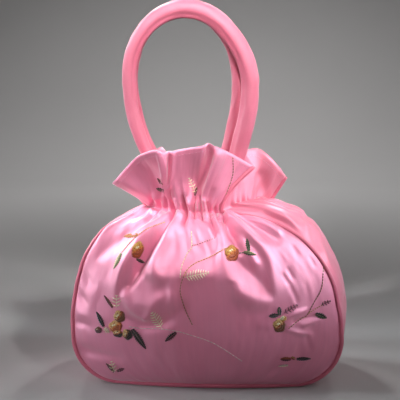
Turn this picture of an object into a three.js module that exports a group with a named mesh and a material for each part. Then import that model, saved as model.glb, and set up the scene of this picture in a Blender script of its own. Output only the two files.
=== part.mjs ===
// A gathered satin drawstring handbag: two bellied panels, a gusset that runs down one side, under the
// bag and up the other, piping in both seams, a pleated neck with a flared frill, and two padded handles.
// Millimetres. X runs across the bag, Y from front to back and Z up from the surface it stands on.
// The neck is twisted, so the back of the bag is its front turned half round about Z, not mirrored.
import * as THREE from "three";

// Driving dimensions
const CLOTH = 2;
const FRILL_CLOTH = 1.4;
const PIPING_RADIUS = 2.2;
const SEAM_CLEAR = 0.4;
const SEAM_INSET = PIPING_RADIUS + SEAM_CLEAR;
const BASE_HALF_WIDTH = 84;
const CORNER_RADIUS = 44.4;
const SEAM_HEIGHT = 2.6;
const SEAM_DEPTH = 43;
const BOTTOM_LIFT_END = 40;
const NECK_UP = 232;
const FRILL_LENGTH = 54;
const FRILL_LIFT = 0.34;
const TOP_UP = NECK_UP + FRILL_LENGTH;
const NECK_PLEATS = 10;
const NECK_PLEAT_DEPTH = 2.4;
const PLEAT_FADE_DOWN = 20;
const PLEAT_FADE_UP = 16;
const SIDE_PLEATS = 4;
const SIDE_PLEAT_DEPTH = 1.8;
const HANDLE_RADIUS = 8.5;
const HANDLE_SEAT_GAP = 0.4;
const HANDLE_TOP = 369;
const HANDLE_TOP_DEPTH = 10;
const BACK_HANDLE_NARROWER = 6.5;
const BACK_HANDLE_SHIFT = -5;
const ARCH_LEAN = -4;

// Mesh densities
const PANEL_COLUMNS = 4 * NECK_PLEATS;
const GUSSET_COLUMNS = 10;
const BASE_STATIONS = 6;
const PIPING_SIDES = 6;
const HANDLE_SIDES = 10;
const HANDLE_STEPS = 32;

// Guide lines of the front panel. up runs along a side seam from the bottom of the bag to the neck.
// Below CORNER_UP both side seams are a quarter circle.
const CORNER_UP = (CORNER_RADIUS * Math.PI) / 2;
const WIDEST = BASE_HALF_WIDTH + CORNER_RADIUS;
const CORNER_TOP = SEAM_HEIGHT + CORNER_RADIUS;
const RIGHT_SEAM = [
  { up: CORNER_UP, x: WIDEST, y: -43, z: CORNER_TOP },
  { up: 90, x: 127, y: -44, z: 66 },
  { up: 105, x: 123.8, y: -45, z: 81 },
  { up: 127, x: 118.5, y: -46, z: 102.7 },
  { up: 150, x: 107, y: -46, z: 124.5 },
  { up: 175, x: 90.5, y: -44, z: 143 },
  { up: 190, x: 77.5, y: -42, z: 151.7 },
  { up: 202, x: 64.5, y: -41, z: 157.6 },
  { up: 214, x: 48, y: -39, z: 162.5 },
  { up: 224, x: 31, y: -37, z: 166 },
  { up: NECK_UP, x: 14, y: -34, z: 168 },
];
const LEFT_SEAM = [
  { up: CORNER_UP, x: -WIDEST, y: -43, z: CORNER_TOP },
  { up: 90, x: -129, y: -41.5, z: 66 },
  { up: 105, x: -127.5, y: -40, z: 82 },
  { up: 127, x: -123.5, y: -37, z: 104 },
  { up: 150, x: -117.5, y: -32.5, z: 125 },
  { up: 175, x: -104, y: -23, z: 147 },
  { up: 190, x: -92, y: -18, z: 155 },
  { up: 202, x: -81, y: -14, z: 160 },
  { up: 214, x: -71, y: -11, z: 164.5 },
  { up: 224, x: -65, y: -8.5, z: 167 },
  { up: NECK_UP, x: -60, y: -6, z: 169 },
];
const PANEL_MIDDLE = [
  { up: 0, x: 0, y: -50, z: SEAM_HEIGHT },
  { up: 20, x: 0, y: -59, z: 19 },
  { up: 45, x: 0, y: -68, z: 42 },
  { up: 75, x: 0, y: -73, z: 67 },
  { up: 105, x: -1, y: -73.5, z: 91 },
  { up: 135, x: -3, y: -69, z: 115 },
  { up: 165, x: -7, y: -61, z: 137 },
  { up: 190, x: -12, y: -52, z: 153 },
  { up: 212, x: -18, y: -42, z: 162 },
  { up: NECK_UP, x: -25, y: -32.5, z: 168 },
];

// Soft folds that run down the panel from the neck: place and half-width as shares of the half panel,
// depth outwards, and how far down the seam length each one reaches.
const PANEL_FOLDS = [
  { across: -0.84, width: 0.07, depth: -4, reach: 95 },
  { across: -0.66, width: 0.09, depth: 5, reach: 120 },
  { across: -0.49, width: 0.1, depth: -11, reach: 165 },
  { across: -0.27, width: 0.11, depth: 7, reach: 140 },
  { across: 0.04, width: 0.08, depth: -5, reach: 85 },
  { across: 0.15, width: 0.06, depth: 4, reach: 95 },
  { across: 0.34, width: 0.11, depth: -10, reach: 155 },
  { across: 0.54, width: 0.08, depth: 6, reach: 130 },
  { across: 0.7, width: 0.07, depth: -4, reach: 110 },
];

// Top edge of the frill. Over a panel it runs from the left seam to the right seam, and over an end of
// the gusset from the front seam to the back seam. The back panel's own left corner is set apart.
const FRONT_CORNER = { x: -92, y: -20, z: 192.5 };
const BACK_CORNER = { x: -78, y: -10, z: 198 };
const PANEL_FRILL = [
  { across: -0.64, x: -68, y: -38, z: 213 },
  { across: -0.36, x: -48, y: -55, z: 225 },
  { across: -0.18, x: -35, y: -49, z: 224 },
  { across: 0.16, x: -14, y: -30, z: 225 },
  { across: 0.42, x: 1, y: -45, z: 230.5 },
  { across: 0.58, x: 10, y: -53, z: 228 },
  { across: 0.75, x: 22, y: -58, z: 225 },
  { across: 0.88, x: 33, y: -60, z: 220 },
  { across: 1, x: 43, y: -57, z: 213.5 },
];
const RIGHT_FRILL = [
  { across: -1, x: 43, y: -57, z: 213.5 },
  { across: -0.55, x: 37, y: -33, z: 224 },
  { across: -0.15, x: 48, y: -10, z: 227 },
  { across: 0.3, x: 62, y: 3, z: 218 },
  { across: 0.75, x: 74, y: 7, z: 204 },
  { across: 1, x: 78, y: 10, z: 198 },
];
const LEFT_FRILL = [
  { across: -1, x: -92, y: -20, z: 192.5 },
  { across: -0.4, x: -79, y: 2, z: 210 },
  { across: 0.2, x: -61, y: 17, z: 219 },
  { across: 0.6, x: -50, y: 36, z: 222 },
  { across: 1, x: -43, y: 57, z: 213.5 },
];

// How far the gusset stands out from its two seams: at its edges, and at its middle on either side.
const GUSSET_SWELL = [
  { up: 0, edge: SEAM_HEIGHT, right: SEAM_HEIGHT, left: SEAM_HEIGHT },
  { up: 30, edge: 1.2, right: 3, left: 3 },
  { up: CORNER_UP, edge: 0, right: 8, left: 8 },
  { up: 105, edge: 0, right: 12, left: 12 },
  { up: 150, edge: 0, right: 11, left: 9 },
  { up: 175, edge: 0, right: 13, left: 7 },
  { up: 195, edge: 0, right: 16, left: 6 },
  { up: 214, edge: 0, right: 17, left: 7 },
  { up: NECK_UP, edge: 0, right: 9.5, left: 9.5 },
];

// Legs of a handle from inside the neck up to the spring of its arch.
const HANDLE_LEGS = [
  { z: 162, middle: -4, half: 22 },
  { z: 190, middle: -7.5, half: 31 },
  { z: 228, middle: -12, half: 44.5 },
  { z: 259, middle: -15.5, half: 55.5 },
  { z: 278, middle: -17, half: 59 },
  { z: 297, middle: -17.6, half: 60.5 },
];

// Places along the seam where a row of the mesh runs.
const SEAM_ROWS = [
  0, 14, 29, 44, 58, 80, 104, 126, 146, 164, 180, 194, 206, 216, 225, NECK_UP, 239, 248, 260, 273, TOP_UP,
];

const satin = (hex, roughness) => new THREE.MeshStandardMaterial({ color: hex, roughness, metalness: 0 });
const smooth = (s) => THREE.MathUtils.smoothstep(s, 0, 1);
const { clamp, lerp } = THREE.MathUtils;
const vector = ({ x, y, z }) => new THREE.Vector3(x, y, z);
const halfTurn = (point) => new THREE.Vector3(-point.x, -point.y, point.z);

// Reads a table at a value of its key column, with a smooth curve through every other column.
function readTable(rows, key, value) {
  const last = rows.length - 1;
  let i = rows.findIndex((row) => row[key] > value) - 1;
  if (i < 0) i = value < rows[0][key] ? 0 : last - 1;
  const [a, b] = [rows[i], rows[i + 1]];
  const span = b[key] - a[key];
  const s = clamp((value - a[key]) / span, 0, 1);
  const slope = (j, name) => {
    const [before, after] = [rows[Math.max(j - 1, 0)], rows[Math.min(j + 1, last)]];
    return (after[name] - before[name]) / (after[key] - before[key]);
  };
  const read = {};
  for (const name of Object.keys(a)) {
    const [s2, s3] = [s * s, s * s * s];
    read[name] =
      (2 * s3 - 3 * s2 + 1) * a[name] +
      (3 * s2 - 2 * s3) * b[name] +
      (s3 - 2 * s2 + s) * span * slope(i, name) +
      (s3 - s2) * span * slope(i + 1, name);
  }
  return read;
}

// A side seam of the front panel: side is 1 for the right one and -1 for the left one.
function sideSeam(side, up) {
  if (up >= CORNER_UP) return vector(readTable(side > 0 ? RIGHT_SEAM : LEFT_SEAM, "up", up));
  const turn = up / CORNER_RADIUS;
  const x = BASE_HALF_WIDTH + CORNER_RADIUS * Math.sin(turn);
  const z = SEAM_HEIGHT + CORNER_RADIUS * (1 - Math.cos(turn));
  return new THREE.Vector3(side * x, -SEAM_DEPTH, z);
}

// The same seam drawn inside itself by an inset, as the edge of a panel that stops short of the piping.
// Above the neck the seam is taken to rise straight, so the inset turns smoothly at the waist.
function insetSeam(side, up, inset) {
  const rising = (level) => {
    const seam = sideSeam(side, Math.min(level, NECK_UP));
    return new THREE.Vector2(seam.x, seam.z + Math.max(level - NECK_UP, 0));
  };
  const along = rising(up + 5).sub(rising(Math.max(up - 5, 0))).normalize();
  const seam = sideSeam(side, up);
  seam.x -= side * inset * along.y;
  seam.z += side * inset * along.x;
  return seam;
}

// Leaves the neck straight up and flares out to the frill's top edge.
function flare(neck, edge, up) {
  const s = (up - NECK_UP) / FRILL_LENGTH;
  const lift = neck.clone().setZ(neck.z + FRILL_LIFT * FRILL_LENGTH);
  return new THREE.QuadraticBezierCurve3(neck, lift, edge).getPoint(s);
}

// A panel before it is gathered. across runs from -1 at the left seam to 1 at the right seam.
// With an inset the sides and bottom lie inside the seam by that much. corner is the frill's left corner.
function panelBase(corner, across, up, inset = SEAM_INSET) {
  const bodyUp = Math.min(up, NECK_UP);
  const left = insetSeam(-1, bodyUp, inset);
  const right = insetSeam(1, bodyUp, inset);
  const middle = vector(readTable(PANEL_MIDDLE, "up", bodyUp));
  middle.z += inset * (1 - smooth(bodyUp / BOTTOM_LIFT_END));
  const crown = left.clone().add(right).multiplyScalar(0.5).sub(middle);
  const point = middle.clone().addScaledVector(right.sub(left), across / 2);
  point.addScaledVector(crown, across * across);
  if (up <= NECK_UP) return point;
  const edge = readTable([{ across: -1, ...corner }, ...PANEL_FRILL], "across", across);
  return flare(point, vector(edge), up);
}

// Unit normal of a panel, out of the bag.
function panelNormal(corner, across, up) {
  const [a, b] = [clamp(across, -0.97, 0.97), clamp(up, 6, TOP_UP - 6)];
  const [stepA, stepB] = [0.03, 6];
  const alongA = panelBase(corner, a + stepA, b).sub(panelBase(corner, a - stepA, b));
  const alongB = panelBase(corner, a, b + stepB).sub(panelBase(corner, a, b - stepB));
  return alongA.cross(alongB).normalize();
}

function pleatFade(up) {
  const fade = up > NECK_UP ? PLEAT_FADE_UP : PLEAT_FADE_DOWN;
  return Math.exp(-Math.abs(up - NECK_UP) / fade);
}

// How far the gathers push a panel out (or in, below zero). They fade out before the side seams.
function panelGather(across, up) {
  const edgeFade = smooth((1 - Math.abs(across)) / 0.08);
  let depth = NECK_PLEAT_DEPTH * Math.cos(Math.PI * NECK_PLEATS * across) * pleatFade(up);
  for (const fold of PANEL_FOLDS) {
    const s = Math.max(NECK_UP - up, 0) / fold.reach;
    const run = s < 0.3 ? 0.3 + 0.7 * smooth(s / 0.3) : 1 - smooth((s - 0.3) / 0.7);
    const rise = up > NECK_UP ? pleatFade(up) : 1;
    depth += fold.depth * run * rise * Math.exp(-(((across - fold.across) / fold.width) ** 2));
  }
  return depth * edgeFade;
}

// The largest share of a row, up to a limit, that keeps clear of the seam line at its end by a distance.
function reachTo(seam, least, limit, pointAt) {
  const near = new THREE.Vector3();
  const clear = (share) => {
    const point = pointAt(share);
    return seam.slice(1).every((end, i) => {
      new THREE.Line3(seam[i], end).closestPointToPoint(point, true, near);
      return near.distanceTo(point) >= least;
    });
  };
  let reach = limit;
  while (!clear(reach)) reach -= 0.004;
  return reach;
}

function panelReach(corner, side, up) {
  const seam = SEAM_ROWS.map((row) => panelBase(corner, side, row, 0));
  const least = up > NECK_UP ? SEAM_INSET + SEAM_CLEAR : 0.98 * SEAM_INSET;
  return reachTo(seam, least, 1, (share) => panelBase(corner, side * share, up));
}

// The body's cloth is backed; the frill above the neck is thinner.
const clothAt = (up) => lerp(CLOTH, FRILL_CLOTH, smooth((up - NECK_UP + 10) / 20));

// A panel's outer and inner skins, which stop short of the piping on three sides.
function panelSkins(corner) {
  const outer = [];
  const inner = [];
  for (const up of SEAM_ROWS) {
    const [left, right] = [-panelReach(corner, -1, up), panelReach(corner, 1, up)];
    const outerRow = [];
    const innerRow = [];
    for (let i = 0; i <= PANEL_COLUMNS; i++) {
      const across = lerp(left, right, i / PANEL_COLUMNS);
      const normal = panelNormal(corner, across, up);
      const point = panelBase(corner, across, up).addScaledVector(normal, panelGather(across, up));
      outerRow.push(point);
      innerRow.push(point.clone().addScaledVector(normal, -clothAt(up)));
    }
    outer.push(outerRow);
    inner.push(innerRow);
  }
  return { outer, inner };
}

// A closed wall between two grids of points with the same rows and columns.
function wall({ outer, inner }) {
  const [rows, columns] = [outer.length, outer[0].length];
  const at = (row, column) => row * columns + column;
  const inside = rows * columns;
  const index = [];
  const quad = (a, b, c, d) => index.push(a, b, c, a, c, d);
  for (let row = 0; row < rows - 1; row++) {
    for (let column = 0; column < columns - 1; column++) {
      const [a, b] = [at(row, column), at(row, column + 1)];
      const [c, d] = [at(row + 1, column + 1), at(row + 1, column)];
      quad(a, b, c, d);
      quad(inside + a, inside + d, inside + c, inside + b);
    }
  }
  const rim = [];
  for (let column = 0; column < columns - 1; column++) rim.push(at(0, column));
  for (let row = 0; row < rows - 1; row++) rim.push(at(row, columns - 1));
  for (let column = columns - 1; column > 0; column--) rim.push(at(rows - 1, column));
  for (let row = rows - 1; row > 0; row--) rim.push(at(row, 0));
  rim.forEach((a, i) => {
    const b = rim[(i + 1) % rim.length];
    quad(a, inside + a, inside + b, b);
  });
  const points = [...outer.flat(), ...inner.flat()];
  return new THREE.BufferGeometry().setFromPoints(points).setIndex(index);
}

// Stations along a panel's seam: down the right side, along the bottom and up the left side.
function seamStations() {
  const sideRows = SEAM_ROWS.slice(1);
  const stations = [...sideRows].reverse().map((up) => ({ across: 1, up }));
  for (let i = 0; i <= BASE_STATIONS; i++) stations.push({ across: 1 - (2 * i) / BASE_STATIONS, up: 0 });
  return [...stations, ...sideRows.map((up) => ({ across: -1, up }))];
}

const STATIONS = seamStations();
const FRONT_SEAM = STATIONS.map(({ across, up }) => panelBase(FRONT_CORNER, across, up, 0));
const BACK_SEAM = STATIONS.map(({ across, up }) => panelBase(BACK_CORNER, across, up, 0));
const BACK_SEAM_IN_PLACE = STATIONS.map((_, k) => halfTurn(BACK_SEAM[STATIONS.length - 1 - k]));

// Direction out of the bag at a station of the gusset.
function gussetOut(k) {
  const [before, after] = [Math.max(k - 1, 0), Math.min(k + 1, STATIONS.length - 1)];
  const along = FRONT_SEAM[after].clone().sub(FRONT_SEAM[before]);
  along.add(BACK_SEAM_IN_PLACE[after]).sub(BACK_SEAM_IN_PLACE[before]);
  return along.cross(BACK_SEAM_IN_PLACE[k].clone().sub(FRONT_SEAM[k])).normalize();
}

// The gusset below the frill. over runs from -1 at the front seam to 1 at the back seam.
function gussetBody(k, over) {
  const { across, up } = STATIONS[k];
  const swell = readTable(GUSSET_SWELL, "up", up);
  const middle = across > 0 ? swell.right : swell.left;
  const pleat = SIDE_PLEAT_DEPTH * Math.cos(Math.PI * SIDE_PLEATS * over) * pleatFade(up);
  const edgeFade = smooth((1 - Math.abs(over)) / 0.2);
  const rise = swell.edge + (middle - swell.edge) * (1 - over * over) + pleat * edgeFade;
  const chord = FRONT_SEAM[k].clone().lerp(BACK_SEAM_IN_PLACE[k], (over + 1) / 2);
  return chord.addScaledVector(gussetOut(k), rise);
}

// Above the neck each end of the gusset flares to its own top edge.
function gussetPoint(k, over) {
  const { across, up } = STATIONS[k];
  if (up <= NECK_UP) return gussetBody(k, over);
  const neck = STATIONS.findIndex((station) => station.across === across && station.up === NECK_UP);
  const edge = readTable(across > 0 ? RIGHT_FRILL : LEFT_FRILL, "across", over);
  return flare(gussetBody(neck, over), vector(edge), up);
}

// Unit normal of a grid of points at one of them.
function gridNormal(grid, row, column) {
  const [rows, columns] = [grid.length - 1, grid[0].length - 1];
  const alongRow = grid[row][Math.min(column + 1, columns)].clone().sub(grid[row][Math.max(column - 1, 0)]);
  const alongColumn = grid[Math.min(row + 1, rows)][column].clone().sub(grid[Math.max(row - 1, 0)][column]);
  return alongRow.cross(alongColumn).normalize();
}

function gussetSkins() {
  const least = SEAM_INSET + SEAM_CLEAR;
  const chord = (k) => FRONT_SEAM[k].distanceTo(BACK_SEAM_IN_PLACE[k]);
  const limits = STATIONS.map((_, k) => 1 - (2 * SEAM_INSET) / chord(k));
  const reachOn = (side, seam) =>
    limits.map((limit, k) => reachTo(seam, least, limit, (share) => gussetPoint(k, side * share)));
  const frontReach = reachOn(-1, FRONT_SEAM);
  const backReach = reachOn(1, BACK_SEAM_IN_PLACE);
  const outer = [];
  for (let i = 0; i <= GUSSET_COLUMNS; i++) {
    const share = i / GUSSET_COLUMNS;
    outer.push(STATIONS.map((_, k) => gussetPoint(k, lerp(-frontReach[k], backReach[k], share))));
  }
  const inner = outer.map((line, row) =>
    line.map((point, column) =>
      point.clone().addScaledVector(gridNormal(outer, row, column), -clothAt(STATIONS[column].up)),
    ),
  );
  return { outer, inner };
}

// A curve that is divided at its own points, so piping bends where the cloth beside it bends.
class SeamCurve extends THREE.CatmullRomCurve3 {
  getUtoTmapping(share) {
    return share;
  }
}

// A round bar along a curve, closed at both ends.
function bar(extrudePath, radius, sides, steps) {
  const section = new THREE.Shape();
  for (let i = 0; i < sides; i++) {
    const turn = (2 * Math.PI * i) / sides;
    section[i ? "lineTo" : "moveTo"](radius * Math.cos(turn), radius * Math.sin(turn));
  }
  section.closePath();
  return new THREE.ExtrudeGeometry(section, { steps, extrudePath, bevelEnabled: false });
}

const FOOT = HANDLE_LEGS[0].z;
const SPRING = HANDLE_LEGS[HANDLE_LEGS.length - 1].z;

// Centre line of a handle: up the left leg, over an elliptical arch and down the right leg.
function handleLine(footY, topY, narrower, shift) {
  const legSteps = 9;
  const archSteps = 12;
  const place = (side, z, rise) => {
    const leg = readTable(HANDLE_LEGS, "z", Math.min(z, SPRING));
    const share = smooth((z - FOOT) / (HANDLE_TOP - FOOT));
    const x = leg.middle + shift * share + side * (leg.half - narrower * share);
    return new THREE.Vector3(x, lerp(footY, topY, share), z + rise);
  };
  const legs = Array.from({ length: legSteps }, (_, i) => lerp(FOOT, SPRING, i / legSteps));
  const line = legs.map((z) => place(-1, z, 0));
  for (let i = 0; i <= archSteps; i++) {
    const turn = (Math.PI * i) / archSteps;
    const top = place(-Math.cos(turn), SPRING, (HANDLE_TOP - HANDLE_RADIUS - SPRING) * Math.sin(turn));
    top.x += ARCH_LEAN * Math.sin(turn);
    line.push(top);
  }
  line.push(...legs.reverse().map((z) => place(1, z, 0)));
  return new THREE.CatmullRomCurve3(line);
}

// How far from the middle of the bag a handle's feet can stand and just clear the cloth round the neck.
// facing is -1 at the front of the bag and 1 at the back.
function handleSeat(facing, points) {
  const clear = HANDLE_RADIUS + HANDLE_SEAT_GAP;
  let seat = Infinity;
  for (const point of points) {
    if (point.z < FOOT || point.z > FOOT + 60 || point.y * facing < 0) continue;
    const leg = readTable(HANDLE_LEGS, "z", point.z);
    const aside = Math.abs(Math.abs(point.x - leg.middle) - leg.half);
    if (aside < clear) seat = Math.min(seat, point.y * facing - Math.sqrt(clear * clear - aside * aside));
  }
  return facing * seat;
}

const bag = new THREE.Group();
function add(name, geometry, material, halfTurned = false) {
  const mesh = new THREE.Mesh(geometry, material);
  mesh.name = name;
  if (halfTurned) mesh.rotation.z = Math.PI;
  bag.add(mesh);
}

const EMBROIDERED_SATIN = satin(0xf3a0bd, 0.35);
const PLAIN_SATIN = satin(0xf08fb0, 0.38);
const PIPING_SATIN = satin(0xdf7e9d, 0.4);
const HANDLE_SATIN = satin(0xee8aa4, 0.5);

const frontSkins = panelSkins(FRONT_CORNER);
const backSkins = panelSkins(BACK_CORNER);
const gusset = gussetSkins();
add("front_panel", wall(frontSkins), EMBROIDERED_SATIN);
add("back_panel", wall(backSkins), EMBROIDERED_SATIN, true);
add("gusset", wall(gusset), PLAIN_SATIN);

const piping = (seam) => bar(new SeamCurve(seam), PIPING_RADIUS, PIPING_SIDES, STATIONS.length - 1);
add("front_piping", piping(FRONT_SEAM), PIPING_SATIN);
add("back_piping", piping(BACK_SEAM), PIPING_SATIN, true);

const backInner = backSkins.inner.flat().map(halfTurn);
const neckCloth = [...frontSkins.inner.flat(), ...backInner, ...gusset.inner.flat()];
const frontSeat = handleSeat(-1, neckCloth);
const backSeat = handleSeat(1, neckCloth);
const frontLine = handleLine(frontSeat, -HANDLE_TOP_DEPTH, 0, 0);
const backLine = handleLine(backSeat, HANDLE_TOP_DEPTH, BACK_HANDLE_NARROWER, BACK_HANDLE_SHIFT);
add("front_handle", bar(frontLine, HANDLE_RADIUS, HANDLE_SIDES, HANDLE_STEPS), HANDLE_SATIN);
add("back_handle", bar(backLine, HANDLE_RADIUS, HANDLE_SIDES, HANDLE_STEPS), HANDLE_SATIN);

export default bag;
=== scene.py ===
# A gathered satin handbag with embroidered panels, piped seams, a flared frill and two padded handles.
# Shapes are worked out in millimetres, X across, Y from front to back and Z up, and made in metres.
import math

import bpy
import numpy as np
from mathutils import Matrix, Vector
from mathutils.bvhtree import BVHTree


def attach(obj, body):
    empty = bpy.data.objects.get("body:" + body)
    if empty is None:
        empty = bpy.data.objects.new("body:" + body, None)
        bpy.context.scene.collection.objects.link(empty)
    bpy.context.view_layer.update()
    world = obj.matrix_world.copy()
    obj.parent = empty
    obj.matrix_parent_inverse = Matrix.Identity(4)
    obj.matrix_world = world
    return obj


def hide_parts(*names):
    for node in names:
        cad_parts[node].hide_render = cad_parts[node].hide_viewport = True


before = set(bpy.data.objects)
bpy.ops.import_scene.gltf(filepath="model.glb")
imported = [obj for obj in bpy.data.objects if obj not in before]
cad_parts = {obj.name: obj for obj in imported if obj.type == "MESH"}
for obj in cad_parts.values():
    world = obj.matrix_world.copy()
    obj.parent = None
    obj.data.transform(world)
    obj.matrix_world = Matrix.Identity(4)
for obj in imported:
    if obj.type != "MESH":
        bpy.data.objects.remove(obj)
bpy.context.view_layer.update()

MM = 0.001

# View of the photograph, which is 400 pixels square
PHOTO_SIZE = 400
VIEW_AZIMUTH = math.radians(2)
VIEW_REACH = 650
VIEW_HEIGHT = 250
AIM_SIDE = -8
AIM_HEIGHT = 175
VIEW_ANGLE = math.radians(34)

# Sizes of the bag
CLOTH = 1.2
PIPING_RADIUS = 2.2
PIPING_PUCKER = 0.12
PIPING_PUCKER_LENGTH = 4
BASE_HALF_WIDTH = 84
CORNER_RADIUS = 44.4
SEAM_HEIGHT = 2.6
SEAM_DEPTH = 43
NECK_UP = 232
FRILL_LENGTH = 54
FRILL_LIFT = 0.34
LEFT_FRILL_LIFT = 0.04
LIFT_BLEND = 0.7
TOP_UP = NECK_UP + FRILL_LENGTH
BASE_LENGTH = 2 * BASE_HALF_WIDTH
PATH_LENGTH = 2 * TOP_UP + BASE_LENGTH
CORNER_UP = CORNER_RADIUS * math.pi / 2
WIDEST = BASE_HALF_WIDTH + CORNER_RADIUS
CORNER_TOP = SEAM_HEIGHT + CORNER_RADIUS
HEM_WIDTH = 5
HEM_RISE = 0.5
HEM_SOFTNESS = 0.8
HEM_GROOVE = 0.3
HEM_GROOVE_WIDTH = 0.6
HANDLE_RADIUS = 8.5
HANDLE_TOP = 369
HANDLE_TOP_DEPTH = 10
FRONT_HANDLE_RISE = 1.5
BACK_HANDLE_RISE = 5.5
ARCH_LEAN = -2
FRONT_ARCH_PULL = 5
BACK_ARCH_PULL = -2
HANDLE_SMOOTHING = 160
HANDLE_FOOT_SLICE = 1

# Groove and edge along the inside of a handle's loop. Columns: angle from the face of the bag towards the
# inside of the loop and width in degrees, height.
HANDLE_SEAM = ((46, 15, -1.1), (80, 18, 0.6))

# Wrinkles of a handle, in layers. Columns: height, rings to a wrinkle, wrinkles to a radian round it, start.
HANDLE_WRINKLES = ((0.45, 9, 1.6, 2), (0.25, 4, 2.5, 0))

# Radius of a handle along its length. Columns: share of the length, radius.
HANDLE_GIRTH = ((0, 5.9), (0.24, 6.2), (0.36, 6.9), (0.5, 8.5), (0.68, 8.5), (1, 8.1))

# Guide lines of the front panel. Columns: up along the seam, x, y, z.
RIGHT_SEAM = (
    (CORNER_UP, WIDEST, -43, CORNER_TOP),
    (90, 127, -44, 66),
    (105, 123.8, -45, 81),
    (127, 118.5, -46, 102.7),
    (150, 107, -46, 124.5),
    (175, 90.5, -44, 143),
    (190, 77.5, -42, 151.7),
    (202, 64.5, -41, 157.6),
    (214, 48, -39, 162.5),
    (224, 31, -37, 166),
    (NECK_UP, 14, -34, 168),
)
LEFT_SEAM = (
    (CORNER_UP, -WIDEST, -43, CORNER_TOP),
    (90, -129, -41.5, 66),
    (105, -127.5, -40, 82),
    (127, -123.5, -37, 104),
    (150, -117, -31, 124.5),
    (175, -103, -19, 146),
    (190, -91, -13, 153.5),
    (202, -80.5, -9.5, 158.5),
    (214, -70.5, -7, 163.5),
    (224, -64.5, -6, 166.5),
    (NECK_UP, -60, -6, 169),
)
PANEL_MIDDLE = (
    (0, 0, -50, SEAM_HEIGHT),
    (20, 0, -59, 19),
    (45, 0, -68, 42),
    (75, 0, -72.5, 67),
    (105, -1, -74.5, 92),
    (120, -2, -73.5, 104.5),
    (135, -3, -70, 116),
    (165, -7, -61, 137),
    (190, -12, -52, 153),
    (212, -18, -42, 162),
    (NECK_UP, -25, -32.5, 168),
)

# Top edges of the frill. Columns: across, x, y, z.
FRONT_FRILL = (
    (-1, -86, -8, 197),
    (-0.86, -92, -20, 194),
    (-0.64, -67.5, -36, 218),
    (-0.5, -57, -45, 224),
    (-0.36, -46, -51, 227),
    (-0.27, -42.5, -47, 225.3),
    (-0.18, -36.7, -43, 224.5),
    (0, -24.7, -41, 226.8),
    (0.16, -12.6, -41, 228.7),
    (0.34, -0.6, -39, 231.2),
    (0.42, 2.2, -37, 232),
    (0.5, 6.8, -36, 230),
    (0.56, 11, -37, 229),
    (0.75, 23.3, -31, 222.9),
    (0.88, 34.2, -26, 216.5),
    (1, 45, -21, 210),
)
BACK_FRILL = (
    (-1, -78, -10, 198),
    (-0.64, -68, -36, 211),
    (-0.36, -46, -50, 219),
    (-0.1, -30, -40, 218),
    (0.16, -13, -33, 219),
    (0.42, 3, -42, 222),
    (0.75, 23, -50, 219),
    (1, 44, -48, 212),
)
RIGHT_FRILL = (
    (-1, 45, -21, 210),
    (-0.55, 37.3, -12, 223.5),
    (-0.15, 48.3, -2, 226.7),
    (0.3, 61.3, -5, 218.3),
    (0.75, 73.2, 0, 204.5),
    (1, 78, 10, 198),
)
LEFT_FRILL = (
    (-1, -86, -8, 197),
    (-0.4, -79, 2, 210),
    (0.2, -61, 17, 219),
    (0.62, -50, 36, 226),
    (1, -44, 48, 212),
)

# How far the gusset stands out from its seams. Columns: up, at its edges, right middle, left middle.
GUSSET_SWELL = (
    (0, SEAM_HEIGHT, SEAM_HEIGHT, SEAM_HEIGHT),
    (30, 1.2, 3, 3),
    (CORNER_UP, 0, 8, 5),
    (105, 0, 12, 6),
    (150, 0, 11, 6),
    (175, 0, 13, 6),
    (195, 0, 16, 6),
    (214, 0, 17, 7),
    (NECK_UP, 0, 9.5, 9.5),
)

# Legs of the handles up to the spring of their arches. Columns: z, middle, half spread.
FRONT_LEGS = (
    (162, -4, 22),
    (190, -9, 33),
    (228, -16, 46.5),
    (254, -17, 55),
    (278, -17, 59),
    (297, -17.7, 59.7),
)
BACK_LEGS = (
    (162, -6, 20),
    (190, -11, 29),
    (228, -20, 41.5),
    (254, -21.5, 50),
    (278, -22.2, 54.6),
    (297, -23.3, 55.6),
)
HANDLE_FOOT = FRONT_LEGS[0][0]
HANDLE_SPRING = FRONT_LEGS[-1][0]

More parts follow.
